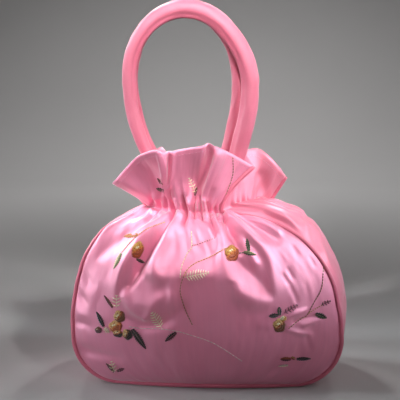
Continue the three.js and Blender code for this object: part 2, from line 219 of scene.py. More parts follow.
# Folds of the front panel as they lie in the photograph. Each has a lean, which is above zero where its
# left flank is the broad one, and rows of: pixel x, pixel y, half-width in pixels, height in millimetres.
BODY_FOLDS = (
    # Belly shelf and left shoulder
    (-0.35, ((147, 272, 8, 1.5), (162, 277, 11, 4), (182, 276, 12, 4.5), (205, 276, 12, 4.5),
             (222, 280, 11, 3))),
    (0.0, ((150, 208, 4, 3), (128, 212, 7, 8), (106, 224, 8, 9), (91, 243, 8, 5), (83, 262, 6, 2))),
    # Left of the middle
    (0.0, ((171, 219, 2.5, -3), (157, 241, 4, -7), (146, 257, 5, -9), (137, 271, 5, -8), (129, 285, 4, -4))),
    (0.3, ((173, 213, 3, 2), (150, 231, 6, 5), (138, 246, 6, 6), (127, 264, 6, 6), (119, 284, 5, 4),
           (116, 297, 4, 2))),
    (0.0, ((135, 261, 2.5, 1.5), (131, 276, 2.5, 3), (127, 284, 2, 1.5))),
    (0.0, ((150, 214, 3, -2), (122, 222, 4, -2.5), (105, 232, 4, -1))),
    (0.0, ((158, 218, 3, -2), (131, 231, 4, -3), (114, 245, 5, -2.5), (101, 255, 5, -1))),
    (0.0, ((180, 217, 4, 3), (170, 234, 7, 5), (158, 256, 9, 6), (156, 270, 9, 5), (160, 279, 7, 3))),
    (0.0, ((126, 295, 4, 2), (133, 308, 4, 2.5), (145, 317, 2.5, 2.2))),
    (0.0, ((160, 298, 5, 1.5), (151, 311, 4, 2), (146, 318, 2.5, 2))),
    (-0.4, ((171, 286, 5, 1.5), (173, 299, 5, 2.2), (172, 311, 5, 1.5))),
    (0.0, ((126, 299, 8, 1.5), (145, 304, 10, 4), (163, 301, 10, 3.5), (176, 291, 8, 1.5))),
    (0.0, ((124, 317, 5, -2), (146, 326, 5, -4), (166, 321, 6, -4), (181, 308, 6, -3))),
    (0.0, ((73, 321, 3, -1.5), (81, 323, 3, -1.5), (89, 326, 3, -0.8))),
    (0.0, ((77, 345, 3, -1.5), (86, 351, 5, -2.5), (102, 355, 4, -2), (119, 357, 4, -1))),
    (0.0, ((80, 268, 4, -1), (86, 277, 4, -1.6), (92, 285, 4, -1))),
    (0.0, ((77, 290, 3.5, -1), (81, 296, 3.5, -1.4), (86, 302, 3.5, -0.8))),
    (0.0, ((75, 308, 4, 1), (84, 314, 4, 1.2), (92, 319, 4, 0.6))),
    # Right of the middle
    (0.0, ((213, 219, 2.5, 3), (221, 232, 3, 4), (223, 245, 4, 4), (224, 262, 7, 5), (229, 278, 10, 6),
           (239, 291, 10, 7), (253, 299, 9, 5.5), (267, 301, 7, 3))),
    (0.0, ((224, 218, 2.5, -4), (229, 229, 4, -6), (235, 240, 5, -5), (240, 250, 5, -3))),
    (-0.25, ((225, 213, 2.5, 3), (240, 227, 4, 4.5), (254, 241, 5, 5), (264, 251, 6, 4), (270, 264, 6, 3),
             (272, 289, 6, 2))),
    (0.0, ((238, 262, 4, -2), (249, 272, 6, -3.5), (261, 283, 7, -3.5), (268, 291, 5, -2))),
    (0.0, ((240, 243, 4, 2), (249, 254, 4.5, 3), (255, 263, 4, 2.5))),
    (0.0, ((239, 210, 3, 1.5), (259, 220, 5, 2.5), (277, 231, 5, 2))),
    (0.0, ((240, 217, 3, -1.5), (254, 226, 5, -2.5), (276, 240, 5, -1.5))),
    (0.0, ((288, 270, 2, -0.9), (292, 277, 2, -1))),
    (0.0, ((310, 258, 2, -0.8), (314, 265, 2, -0.8))),
    (0.0, ((283, 276, 2, -0.9), (288, 283, 2, -1))),
    (0.0, ((291, 288, 2, -0.8), (296, 300, 2.5, -1))),
    (0.0, ((293, 247, 2.5, -0.8), (297, 254, 2.5, -0.8))),
    (0.0, ((284, 317, 2.2, 1.2), (294, 313, 2.6, 2.4), (304, 310, 2.4, 1.5))),
    (0.0, ((287, 329, 2.2, 1.6), (298, 332, 2.6, 2.4), (309, 334, 2.6, 1.2))),
    (0.0, ((302, 325, 2.2, 1.4), (310, 322, 2.4, 2), (319, 320, 2.6, 1))),
    (0.0, ((294, 321, 2.4, -1.8), (304, 318, 2.4, -1.8), (312, 315, 2.6, -1))),
    (0.0, ((306, 336, 3, -1), (309, 348, 3, -0.8))),
    (0.0, ((262, 325, 4, 1), (268, 325, 4, 1))),
)

# Pleats drawn up at the neck, with the same columns.
NECK_PLEATS = (
    (0.0, ((152, 193, 2, -1.4), (153, 203, 2, -2.7), (147, 211, 2, -2.7), (136, 215, 3, -1.4))),
    (0.0, ((160, 194, 2, -2), (160, 204, 2, -3), (158, 211, 2, -2.7), (148, 219, 3, -1.4))),
    (0.0, ((165, 196, 1.8, -3.4), (166, 204, 1.8, -4.1), (166, 211, 1.8, -2.7))),
    (0.0, ((170, 190, 1.8, -2.7), (171.5, 200, 1.8, -4.1), (173, 211, 2, -5.4), (172, 218, 2, -4.1))),
    (0.0, ((176, 200, 1.8, 2), (178, 208, 2, 3.4), (180, 216, 2.5, 2.7))),
    (0.0, ((183, 197, 1.8, -2.7), (185, 206, 1.8, -4.7), (187, 215, 2, -4.7), (184, 223, 2.5, -2.7))),
    (0.0, ((189, 200, 1.8, 2), (190, 210, 1.8, 3), (189, 221, 2.5, 2))),
    (0.0, ((194.5, 200, 1.6, -3.4), (194, 209, 1.8, -4.7), (194, 217, 2, -3.4))),
    (0.0, ((197.5, 202, 1.6, 2), (197.5, 210, 1.6, 2.7))),
    (0.0, ((200, 198, 1.6, -3.4), (201, 208, 1.8, -4.7), (202, 219, 2, -4.1))),
    (0.0, ((204, 200, 1.6, 2), (205, 209, 1.8, 3), (206, 217, 2, 2))),
    (0.0, ((207, 203, 1.6, -2.7), (209, 212, 1.8, -4.3), (212, 221, 2, -4.1), (216, 233, 2.5, -2.7))),
    (0.0, ((215, 208, 1.6, -2.7), (216, 214, 1.8, -4.3), (218, 221, 2, -3.4))),
    (0.0, ((220, 205, 1.5, -2.7), (222, 212, 1.8, -4.1), (225, 219, 2, -4.1))),
)

# Folds of the front frill, with the same columns.
FRILL_FOLDS = (
    (0.0, ((118, 179, 4, 1.5), (138, 187, 6, 3), (158, 198, 4, 3))),
    (0.0, ((133, 163, 8, -1.5), (149, 172, 8, -3.2), (158, 188, 5, -3.5), (164, 199, 3, -2))),
    (-0.7, ((157, 152, 4, 2), (159.5, 160, 4, 4), (162.5, 173, 4.5, 5), (165, 188, 4, 5), (169, 198, 3, 3))),
    (0.0, ((169.5, 153, 2, -2), (168.3, 167, 2, -4), (168, 183, 2, -3))),
    (0.0, ((173, 153, 2.5, 1.5), (172, 166, 2.5, 2), (171, 184, 2.5, 2))),
    (0.0, ((190, 154, 9, -1), (193, 170, 10, -5), (195, 182, 10, -9), (196, 191, 8, -8))),
    (0.0, ((175, 181, 2.2, 1), (178, 192, 2.4, 2.8), (182, 203, 2, 2))),
    (0.0, ((182.5, 179, 2, 1), (185, 191, 2, 2.4), (188, 203, 1.8, 2))),
    (0.0, ((198, 186, 3, -2.5), (195.5, 193, 2.6, -3.5), (194, 200, 2, -2.5))),
    (0.0, ((209, 149, 3, -4), (209.5, 157, 3.4, -7), (207, 167, 3.4, -7), (203, 180, 3, -5),
           (200, 190, 2.5, -3))),
    (-0.7, ((218, 149, 4, 2), (215.5, 157, 4.5, 4.5), (210, 173, 4.5, 5), (204, 188, 4, 4.5),
            (202, 198, 2.5, 3))),
    (0.0, ((211, 190, 3, -2.5), (208, 199, 2.5, -2))),
    (0.0, ((233, 168, 7, 0.2), (226, 182, 6, 1.2), (217, 195, 4.5, 2.4), (210, 206, 2.5, 2))),
)

# Creases on the right of the gusset, with the same columns.
GUSSET_FOLDS = (
    (0.0, ((262, 208, 3, 2), (283, 217, 4, 3.5), (304, 235, 5, 2))),
    (0.0, ((266, 216, 2.5, -3), (286, 226, 3, -3.5), (304, 242, 4, -1.5))),
    (0.0, ((268, 199, 2.5, -2), (286, 205, 3, -3.5), (300, 218, 4, -2))),
    (0.0, ((272, 194, 3, 1.5), (288, 199, 3, 2.5), (302, 212, 4, 1.5))),
    (0.0, ((284, 207, 2, 1.5), (296, 214, 2.5, 2), (306, 226, 3, 1))),
    (0.0, ((306, 216, 2.5, -1.8), (312, 230, 3, -2), (318, 246, 4, -1))),
    (0.0, ((318, 240, 3, 1.2), (326, 258, 3, 1.5), (332, 276, 4, 0.8))),
    (0.0, ((262, 176, 5, -3), (262, 187, 5, -3), (256, 197, 3, -2))),
    (0.0, ((274, 173, 4, 1.5), (268, 185, 4, 2), (259, 197, 3, 1.5))),
)

# Embroidery as it lies in the photograph, in pixels. Thread colours are screen values from 0 to 255.
THREADS = {
    "cream": (250, 236, 200),
    "tan": (222, 172, 112),
    "gold": (214, 158, 70),
    "orange": (222, 124, 52),
    "rust": (176, 78, 34),
    "bronze": (164, 108, 66),
    "brown": (122, 70, 42),
    "maroon": (104, 38, 52),
    "olive": (140, 150, 92),
    "green": (70, 86, 52),
    "teal": (48, 68, 70),
    "dark": (52, 34, 28),
    "pale": (232, 196, 196),
}

# Columns: base x, base y, tip x, tip y, half-width, thread of the left half, thread of the right half.
LEAVES = (
    (138.5, 234.5, 123.5, 236.5, 2.8, "gold", "orange"),
    (121.5, 252.5, 113.5, 269.5, 2.4, "olive", "cream"),
    (136, 259, 145, 263, 2, "green", "dark"),
    (249, 251.5, 246.7, 238, 2.6, "green", "green"),
    (243.5, 252, 256.5, 255, 2.4, "olive", "green"),
    (131.5, 328.5, 146.5, 349.5, 3.6, "dark", "dark"),
    (113, 308, 104, 295, 1.7, "maroon", "brown"),
    (104, 327, 96.4, 311, 2.4, "teal", "dark"),
    (176.7, 332, 165, 341.5, 3, "maroon", "dark"),
    (114.5, 372, 106, 363, 1.8, "maroon", "brown"),
    (117, 371, 124.5, 368.5, 1.8, "maroon", "maroon"),
    (278.5, 315, 268.5, 316.3, 2.6, "teal", "dark"),
    (279.5, 315.5, 279.3, 306.5, 2.6, "green", "teal"),
    (315, 313.5, 327, 318, 3.2, "dark", "green"),
    (291, 359, 280, 359, 2.4, "maroon", "rust"),
    (295, 359, 291, 357, 1.8, "rust", "gold"),
    (296, 359, 311, 358.5, 2.2, "dark", "teal"),
    (288, 365, 278, 366, 1.4, "cream", "pale"),
    # The three leaves on the frill are dark thread laid as painted shade in its hollows: two in the shaded
    # valley left of its fold edge and one at the bottom of its pocket.
    (164, 190.5, 156, 188.5, 2, "green", "dark"),
    (162.5, 185, 157.5, 178, 1.5, "maroon", "brown"),
    (194.4, 196, 197, 187, 1.6, "brown", "maroon"),
)

# Columns: base x, base y, tip x, tip y, half-width, thread.
FERNS = (
    (183.6, 277.6, 208.5, 272.7, 5, "cream"),
    (116.5, 308, 116.5, 295.5, 4.4, "cream"),
    (162, 328.5, 152, 312.5, 5, "cream"),
    (104, 328, 109, 332, 2.5, "cream"),
    (114.5, 372.5, 111.5, 361.5, 3.6, "cream"),
    (284, 313, 297, 305, 3.2, "maroon"),
    (321, 305, 330, 301, 2.6, "maroon"),
    # The cream fern on the frill is light thread laid as a painted highlight along the narrow ridge by its
    # pocket.
    (196, 194, 189, 178, 3, "cream"),
)

# Columns: centre x, centre y, half-width, half-height, tilt in degrees, then the threads of its dark side,
# its body and its light side. The dark side at the lower right is painted shade and the light side at the
# upper left a painted highlight, laid in the rose's own thread colours.
BUDS = (
    (137.6, 250, 6.2, 9.2, 18, "rust", "orange", "gold"),
    (231.8, 253.2, 7.6, 8.6, 0, "rust", "orange", "gold"),
    (119.5, 316.5, 6, 6.6, -20, "brown", "rust", "tan"),
    (115.5, 326.5, 7, 6.4, 0, "rust", "orange", "tan"),
    (118, 333.5, 5.6, 4, 15, "dark", "rust", "tan"),
    (127.5, 334.5, 5, 6, -30, "dark", "brown", "tan"),
    (98.5, 330, 3.8, 3.4, 0, "maroon", "maroon", "brown"),
    (279.3, 325.5, 6.6, 7.4, 0, "brown", "rust", "tan"),
    (283.2, 318.6, 3.8, 2.8, -15, "gold", "gold", "cream"),
)

# A stem has a thread, a stitch length, a gap and a path.
STEMS = (
    ("gold", 2.4, 0.3, ((165, 222), (147, 229), (133, 240), (121.5, 253))),
    ("cream", 3, 0.2, ((191.5, 231), (191.5, 247), (187, 254), (181.5, 267), (180, 278))),
    ("brown", 1.4, 1.2, ((192, 246), (203, 242.5), (215, 238))),
    ("gold", 2.6, 0.3, ((226, 248), (212, 256), (196, 263), (188, 269), (184, 276))),
    ("bronze", 2.6, 0.3, ((184, 276), (181, 284), (180.5, 294), (186, 311), (193, 326))),
    ("green", 2.4, 0.3, ((239, 253.5), (244, 252.5))),
    ("pale", 3.2, 0.4, ((129, 326.6), (142, 328.5), (161, 329), (178, 331.3), (194, 336), (210, 341.5),
                        (222, 348), (242, 361))),
    ("bronze", 2.6, 0.3, ((323.5, 261), (321.6, 287), (314.3, 301.4), (307, 314.7), (300, 319), (288, 329))),
    ("gold", 1.6, 0.8, ((307, 314.7), (312, 310.6), (322, 305))),
    ("bronze", 2.4, 0.4, ((232.7, 157), (232.7, 174), (227.5, 189.7), (222, 202))),
)

# Rings of petals in a bud, from the outside in. Columns: inner and outer radius as shares of the bud, lift,
# petals, shift towards the light side at the upper left, where the painted highlight lies.
BUD_RINGS = ((0.5, 1, 0.35, 5, 0), (0.25, 0.74, 0.8, 4, 0.08), (0.0, 0.38, 1.15, 3, 0.14))
BUD_SWIRL = 0.3
BUD_ARCH = 0.3
BUD_SCATTER = 0.12
PETAL_GAP = 0.12
PETAL_RIM = 0.88
PETAL_ROUNDING = 0.14
FEWEST_STITCHES = 4
FEWEST_BUD_STITCHES = 7
THREAD_RADIUS = 0.3
THREAD_PITCH = 0.55
THREAD_SIDES = 5
THREAD_TIP = 0.4
THREAD_SHADES = (0.8, 1.15)
LEAFLET_PITCH = 2.55
LEAFLET_RADIUS = 0.47
LEAF_NICK = 0.74
LEAF_SLANT = 0.55
LEAF_SPAN = (0.03, 0.94)
LEAFLET_SLANT = 0.45
LEAFLET_SPAN = (0.14, 0.98)
LEAFLET_LEAST = 0.3
STEM_RADIUS = 0.48
HEM_STITCH = 2.3
HEM_STITCH_PITCH = 3.2
HEM_STITCH_DOWN = 4
HEM_THREAD_RADIUS = 0.28
HEM_THREAD = (238, 150, 178)

# Height of a stitch over the cloth, from its first end to its last.
LEAF_LIFT = (0.3, 0.6, 0.15)
LEAFLET_LIFT = (0.35, 0.7, 0.15)
STEM_LIFT = (0.1, 0.5, 0.5, 0.1)
HEM_LIFT = (0.05, 0.3, 0.3, 0.05)
RIB_LIFT = 0.3
RIB_POINTS = 9

# Millimetres of strand to a pixel of the photograph, past which a strand crosses a fold.
LONGEST_STRAND = 2.6

FLOOR_RADIUS = 3.5
FLOOR_SIDES = 96
FLOOR_TONES = ((0.47, 0.46, 0.457), (0.49, 0.48, 0.477))
FLOOR_ROUGHNESS = 0.6
BACKDROP_HEIGHT = 3
BACKDROP_SWEEP = 1.5
BACKDROP_SWEEP_STEPS = 24
BACKDROP_LIGHT_SIZE = 1.2
BACKDROP_LIGHT_REACH = 1.7
BACKDROP_LIGHT_HEIGHT = 1.8
BACKDROP_LIGHT_SPREAD = 130
BACKDROP_LIGHT_LEAN = 0.3

# Lights over the far floor. Columns: azimuth in degrees, power in watts.
BACKDROP_LIGHTS = ((0, 7), (90, 14), (180, 15), (270, 14))

# Softboxes. Columns: name, azimuth, elevation and spread in degrees, x and height aimed at and distance in
# metres, power in watts, share of the red left out for a cooler light.
LIGHTS = (
    ("top_softbox", 0, 50, 17, 0, 0.125, 0.5, 0.031, 0),
    ("right_front_softbox", 42, 35, 14, 0, 0.26, 1, 0.18, 0),
    ("handle_softbox", 0, 20, 12, 0, 0.43, 1, 0.43, 0),
    ("left_softbox", -80, 35, 22, 0, 0.2, 1, 0.125, 0.12),
    ("left_rear_softbox", -110, 30, 22, 0, 0.2, 1, 0.25, 0.1),
    ("low_left_softbox", -82, 10, 24, 0, 0.12, 1, 0.08, 0.18),
    ("left_corner_softbox", -64, 8, 12, -0.06, 0.02, 0.5, 0.0145, 0.25),
    ("left_frill_softbox", -45, 25, 8, -0.065, 0.2, 0.4, 0.018, 0),
    ("low_right_softbox", 86, 22, 22, 0, 0.19, 1, 0.18, 0.12),
    ("right_corner_softbox", 55, 17, 11, 0.03, 0.103, 0.5, 0.023, 0.25),
    ("rear_left_softbox", -150, 45, 20, 0, 0.26, 1, 0.2, 0),
    ("rear_right_softbox", 150, 45, 20, 0, 0.26, 1, 0.17, 0),
)
LIGHT_SIZE_SHARE = 0.25
SURROUND_COLOUR = (0.9, 0.9, 0.92, 1)
SURROUND_STRENGTH = 0.03

# Patterns of the materials. Three scales are repeats to a metre, along the cloth or in space.
WARP_STREAKS = (420, 9, 1)
SATIN_DRIFT = (22, 22, 22)
SATIN_WEAVE = (2600, 2600, 1)
THREAD_TWIST = (2400, 2400, 2400)
FLOOR_DRIFT = (1.5, 1.5, 1.5)
DRIFT_SPAN = (0.3, 0.7)
STREAK_SPAN = (0.3, 0.72)
STREAK_SHADE = 0.94
STREAK_ROUGHNESS = (-0.05, 0.06)
TWIST_SHADE = 0.72
WEAVE_BUMP = 0.12
TWIST_BUMP = 0.3
BUMP_DEPTH = 0.0002
THREAD_LUSTRE = {"Roughness": 0.42, "Sheen Weight": 0.2}
SATIN_LUSTRE = {
    "Anisotropic": 0.4,
    "Sheen Roughness": 0.45,
    "Sheen Tint": (1, 0.9, 0.94, 1),
    "Coat Roughness": 0.48,
    "Coat IOR": 2.2,
}

# Points of a panel, with rows that are closer together round the neck
PANEL_COLUMNS = 170
PANEL_UPS = np.concatenate(
    [np.linspace(0, 180, 86)[:-1], np.linspace(180, 250, 60)[:-1], np.linspace(250, TOP_UP, 22)]
)

# Settling of the gathered cloth between its seams. Columns: up, cut width as a share of the drawn width.
GATHER = (
    (0, 1),
    (100, 1.002),
    (140, 1.01),
    (180, 1.035),
    (210, 1.07),
    (NECK_UP, 1.1),
    (250, 1.04),
    (TOP_UP, 1),
)
CUT_LENGTH = 1.002
SETTLE_PASSES = 300
SETTLE_CAP = 8
SETTLE_PRESSURE = 0.004
SETTLE_BENDING = 0.06
SHORTEST_SPRING = 1e-3
SHORTEST_SHIFT = 1e-6

# Springs between points of the cloth. Columns: row step, column step, stiffness.
SPRINGS = ((0, 1, 0.12), (1, 0, 0.12), (1, 1, 0.05), (1, -1, 0.05), (0, 3, 0.03), (3, 0, 0.03))

# How near to its seams, its casing and its hem a panel is held.
SIDE_HELD = 0.96
SIDE_HELD_FADE = 0.03
BASE_HELD = 6
CASING_HELD = 7
HELD_FADE = 4

# Where folds and crumples die out towards the seams and the neck.
SEAM_FADE_ACROSS = 0.07
SEAM_FADE_UP = 9
NECK_BLEND = 4
GUSSET_FADE_OVER = 0.25
GUSSET_FADE_UP = 40

# Small crumples of the cloth, in layers. Columns: height, hills to a unit across, length of a hill along the
# cloth, start across, start along.
PANEL_CRUMPLES = ((0.5, 13, 26, 30, 7), (0.25, 31, 11, 11, 3))
GUSSET_CRUMPLES = ((0.7, 3, 17, 4, 0), (0.4, 7, 9, 9, 0))

# Pleats of the gusset at the neck
SIDE_PLEATS = 4
SIDE_PLEAT_DEPTH = 2
SIDE_PLEAT_WANDER = 0.6
SIDE_PLEAT_REACH_UP = 12
SIDE_PLEAT_REACH_DOWN = 22

# Numbers of points, and steps between them
FOLD_POINTS = 12
FOLD_REACH = 3
STEM_POINTS = 40
NORMAL_ACROSS = 0.03
NORMAL_UP = 6
GUSSET_NORMAL = 7
GUSSET_COLUMNS = 60
GUSSET_STEP = 2.6
PIPING_RINGS = 320
PIPING_SIDES = 14
HANDLE_LEG_POINTS = 80
HANDLE_ARCH_POINTS = 110
HANDLE_SIDES = 36

# A tube's first ring starts square to this direction.
TUBE_START = (0, 1, 0.3)


def smooth(s):
    s = np.clip(s, 0, 1)
    return s * s * (3 - 2 * s)


def unit(vectors):
    return vectors / np.linalg.norm(vectors, axis=-1, keepdims=True)


def half_turn(points):
    return points * np.array([-1, -1, 1])


def read_table(rows, values):
    """Reads a table at values of its first column, with a smooth curve through the other columns."""
    table = np.array(rows, float)
    keys, columns = table[:, 0], table[:, 1:]
    last = len(keys) - 1
    before = np.maximum(np.arange(last + 1) - 1, 0)
    after = np.minimum(np.arange(last + 1) + 1, last)
    slopes = (columns[after] - columns[before]) / (keys[after] - keys[before])[:, None]
    values = np.asarray(values, float)
    i = np.clip(np.searchsorted(keys, values, side="right") - 1, 0, last - 1)
    span = (keys[i + 1] - keys[i])[..., None]
    s = np.clip((values - keys[i])[..., None] / span, 0, 1)
    curve = (2 * s**3 - 3 * s**2 + 1) * columns[i] + (3 * s**2 - 2 * s**3) * columns[i + 1]
    return curve + (s**3 - 2 * s**2 + s) * span * slopes[i] + (s**3 - s**2) * span * slopes[i + 1]


def smooth_line(rows, points_per_row):
    """A smooth line through rows of a table."""
    numbered = [(i, *row) for i, row in enumerate(rows)]
    return read_table(numbered, np.linspace(0, len(rows) - 1, points_per_row * len(rows)))


def distance_along(line):
    return np.concatenate([[0], np.cumsum(np.linalg.norm(np.diff(line, axis=0), axis=1))])


def read_along(columns, run, distances):
    """Values of columns, which are given at the distances in run, at other distances."""
    return np.stack([np.interp(distances, run, column) for column in columns.T], -1)


def round_angles(count):
    return np.linspace(0, 2 * math.pi, count, endpoint=False)


def soft_noise(u, v, seed):
    """Smooth noise between -1 and 1, with one hill or hollow to a unit of u and v."""
    size = 64
    lattice = np.random.default_rng(seed).uniform(-1, 1, (size, size))
    iu, iv = np.floor(u).astype(int), np.floor(v).astype(int)
    su, sv = smooth(u - iu), smooth(v - iv)
    low = lattice[iu % size, iv % size] * (1 - su) + lattice[(iu + 1) % size, iv % size] * su
    high = lattice[iu % size, (iv + 1) % size] * (1 - su) + lattice[(iu + 1) % size, (iv + 1) % size] * su
    return low * (1 - sv) + high * sv


def crumples(layers, across, along, seed):
    """Small hills and hollows of the cloth."""
    return sum(
        height * soft_noise(across * hills + start_across, along / length + start_along, seed + i)
        for i, (height, hills, length, start_across, start_along) in enumerate(layers)
    )


# The photograph's view

EYE = np.array([VIEW_REACH * math.sin(VIEW_AZIMUTH), -VIEW_REACH * math.cos(VIEW_AZIMUTH), VIEW_HEIGHT])
AIM = np.array([AIM_SIDE * math.cos(VIEW_AZIMUTH), AIM_SIDE * math.sin(VIEW_AZIMUTH), AIM_HEIGHT])
AHEAD = unit(AIM - EYE)
ASIDE = unit(np.cross(AHEAD, [0, 0, 1]))
UPWARD = np.cross(ASIDE, AHEAD)
FOCAL = PHOTO_SIZE / 2 / math.tan(VIEW_ANGLE / 2)


def photo_pixels(points):
    """Where points in millimetres show in the photograph."""
    away = points - EYE
    depth = away @ AHEAD
    x = PHOTO_SIZE / 2 + FOCAL * (away @ ASIDE) / depth
    y = PHOTO_SIZE / 2 - FOCAL * (away @ UPWARD) / depth
    return np.stack([x, y], -1)


def photo_rays(pixels):
    """Directions from the eye through pixels of the photograph."""
    x, y = pixels[..., 0] - PHOTO_SIZE / 2, PHOTO_SIZE / 2 - pixels[..., 1]
    return unit(FOCAL * AHEAD + x[..., None] * ASIDE + y[..., None] * UPWARD)


def fold_height(folds, pixels):
    """How far a set of folds lifts the cloth at pixels of the photograph."""
    height = np.zeros(pixels.shape[:-1])
    for lean, rows in folds:
        line = smooth_line(rows, FOLD_POINTS)
        along = unit(np.gradient(line[:, :2], axis=0))
        reach = FOLD_REACH * line[:, 2].max() * (1 + abs(lean))
        low, high = line[:, :2].min(0) - reach, line[:, :2].max(0) + reach
        near = np.all((pixels > low) & (pixels < high), axis=-1)
        offset = pixels[near][:, None, :] - line[None, :, :2]
        nearest = np.argmin((offset**2).sum(-1), axis=1)
        offset = offset[np.arange(len(nearest)), nearest]
        tangent = along[nearest]
        side = np.sign(tangent[:, 0] * offset[:, 1] - tangent[:, 1] * offset[:, 0])
        width = line[nearest, 2] * (1 + lean * side)
        height[near] += line[nearest, 3] * np.exp(-((np.linalg.norm(offset, axis=-1) / width) ** 2))
    return height


# Cloth of the panels and the gusset

def side_seam(side, up):
    """A side seam of the front panel: side is 1 for the right one and -1 for the left one."""
    turn = np.minimum(up, CORNER_UP) / CORNER_RADIUS
    x = side * (BASE_HALF_WIDTH + CORNER_RADIUS * np.sin(turn))
    z = SEAM_HEIGHT + CORNER_RADIUS * (1 - np.cos(turn))
    corner = np.stack([x, np.full_like(x, -SEAM_DEPTH), z], -1)
    above = read_table(RIGHT_SEAM if side > 0 else LEFT_SEAM, up)
    return np.where((up < CORNER_UP)[..., None], corner, above)


def flare(neck, edge, up, lift):
    """Leaves the neck straight up by a share of the frill's length and flares out to its top edge."""
    s = np.clip((up - NECK_UP) / FRILL_LENGTH, 0, 1)[..., None]
    turn = neck + lift[..., None] * np.array([0, 0, FRILL_LENGTH])
    return (1 - s) ** 2 * neck + 2 * s * (1 - s) * turn + s**2 * edge


def panel_base(frill, across, up):
    """A panel before it is gathered. across runs from -1 at the left seam to 1 at the right seam."""
    body_up = np.minimum(up, NECK_UP)
    left, right = side_seam(-1, body_up), side_seam(1, body_up)
    middle = read_table(PANEL_MIDDLE, body_up)
    share = across[..., None]
    point = middle + (right - left) * share / 2 + ((left + right) / 2 - middle) * share**2
    edge = read_table(frill, across)
    lift = LEFT_FRILL_LIFT + (FRILL_LIFT - LEFT_FRILL_LIFT) * smooth((across + 1) / LIFT_BLEND)
    return np.where((up > NECK_UP)[..., None], flare(point, edge, up, lift), point)


def panel_normal(frill, across, up):
    a = np.clip(across, NORMAL_ACROSS - 1, 1 - NORMAL_ACROSS)
    b = np.clip(up, NORMAL_UP, TOP_UP - NORMAL_UP)
    along_a = panel_base(frill, a + NORMAL_ACROSS, b) - panel_base(frill, a - NORMAL_ACROSS, b)
    along_b = panel_base(frill, a, b + NORMAL_UP) - panel_base(frill, a, b - NORMAL_UP)
    return unit(np.cross(along_a, along_b))


def hem_height(up):
    """The turned hem at the top of the frill, with a slight groove along its stitches."""
    down = TOP_UP - up
    step = HEM_RISE * smooth((HEM_WIDTH + HEM_SOFTNESS - down) / (2 * HEM_SOFTNESS))
    return step - HEM_GROOVE * np.exp(-(((down - HEM_STITCH_DOWN) / HEM_GROOVE_WIDTH) ** 2))


def front_folds(across, up):
    pixels = photo_pixels(panel_base(FRONT_FRILL, across, up))
    below = smooth((NECK_UP + NECK_BLEND - up) / (2 * NECK_BLEND))
    body = fold_height(BODY_FOLDS, pixels) * below
    frill = fold_height(FRILL_FOLDS, pixels) * (1 - below)
    return body + frill + fold_height(NECK_PLEATS, pixels)


def panel_points(frill, across, up, folds, seed):
    """A panel's outer skin with its folds, hem and small crumples."""
    edge_fade = smooth((1 - np.abs(across)) / SEAM_FADE_ACROSS) * smooth(up / SEAM_FADE_UP)
    height = (folds + crumples(PANEL_CRUMPLES, across, up, seed)) * edge_fade + hem_height(up)
    return panel_base(frill, across, up) + panel_normal(frill, across, up) * height[..., None]


def path_station(t):
    """across and up at a distance along the seam: down the right side, under the bag and up the left side."""
    across = np.clip(1 - 2 * (t - TOP_UP) / BASE_LENGTH, -1, 1)
    up = np.where(t < TOP_UP, TOP_UP - t, np.maximum(t - TOP_UP - BASE_LENGTH, 0))
    return across, up


def front_seam(t):
    return panel_base(FRONT_FRILL, *path_station(t))


def back_seam(t):
    return half_turn(panel_base(BACK_FRILL, *path_station(PATH_LENGTH - t)))


def gusset_out(t):
    """Direction out of the bag along the gusset."""
    before, after = np.maximum(t - GUSSET_NORMAL, 0), np.minimum(t + GUSSET_NORMAL, PATH_LENGTH)
    along = front_seam(after) - front_seam(before) + back_seam(after) - back_seam(before)
    return unit(np.cross(along, back_seam(t) - front_seam(t)))


def side_pleats(over, up):
    """Pleats of the gusset at the neck, with round ridges and sharp hollows."""
    reach = np.where(up > NECK_UP, SIDE_PLEAT_REACH_UP, SIDE_PLEAT_REACH_DOWN)
    fade = np.exp(-np.abs(up - NECK_UP) / reach)
    turn = over * SIDE_PLEATS + SIDE_PLEAT_WANDER * soft_noise(over * 3 + 5, up / 60, seed=21)
    depth = SIDE_PLEAT_DEPTH + soft_noise(over * 4 + 17, up / 40, seed=22)
    return depth * (2 * np.abs(np.sin(math.pi * turn)) - 1) * fade


def gusset_body(t, over):
    across, up = path_station(t)
    edge, right, left = np.moveaxis(read_table(GUSSET_SWELL, up), -1, 0)
    middle = np.where(across > 0, right, left)
    rise = edge + (middle - edge) * (1 - over**2)
    share = ((over + 1) / 2)[..., None]
    chord = front_seam(t) * (1 - share) + back_seam(t) * share
    return chord + gusset_out(t) * rise[..., None]


def gusset_points(t, over):
    across, up = path_station(t)
    neck = TOP_UP - NECK_UP
    body = gusset_body(np.clip(t, neck, PATH_LENGTH - neck), over)
    right, left = read_table(RIGHT_FRILL, over), read_table(LEFT_FRILL, over)
    edge = np.where((across > 0)[..., None], right, left)
    start = np.where(across > 0, FRILL_LIFT, LEFT_FRILL_LIFT)
    end = np.where(across > 0, LEFT_FRILL_LIFT, FRILL_LIFT)
    lift = start + (end - start) * smooth((over + 1) / 2)
    return np.where((up > NECK_UP)[..., None], flare(body, edge, up, lift), body)


def grid_normals(points):
    return unit(np.cross(np.gradient(points, axis=1), np.gradient(points, axis=0)))


def gusset_skin():
    """The gusset's outer skin: rows run from the front seam to the back seam."""
    t = np.linspace(0, PATH_LENGTH, int(PATH_LENGTH / GUSSET_STEP))
    t, over = np.meshgrid(t, np.linspace(-1, 1, GUSSET_COLUMNS + 1))
    points = gusset_points(t, over)
    normals = grid_normals(points)
    across, up = path_station(t)
    creases = fold_height(GUSSET_FOLDS, photo_pixels(points)) * (across > 0)
    creases = creases + crumples(GUSSET_CRUMPLES, over, t, seed=41)
    standing = smooth(up / GUSSET_FADE_UP) * smooth((1 - np.abs(over)) / GUSSET_FADE_OVER)
    height = (creases + side_pleats(over, up)) * standing + hem_height(up)
    return points + normals * height[..., None], t, over


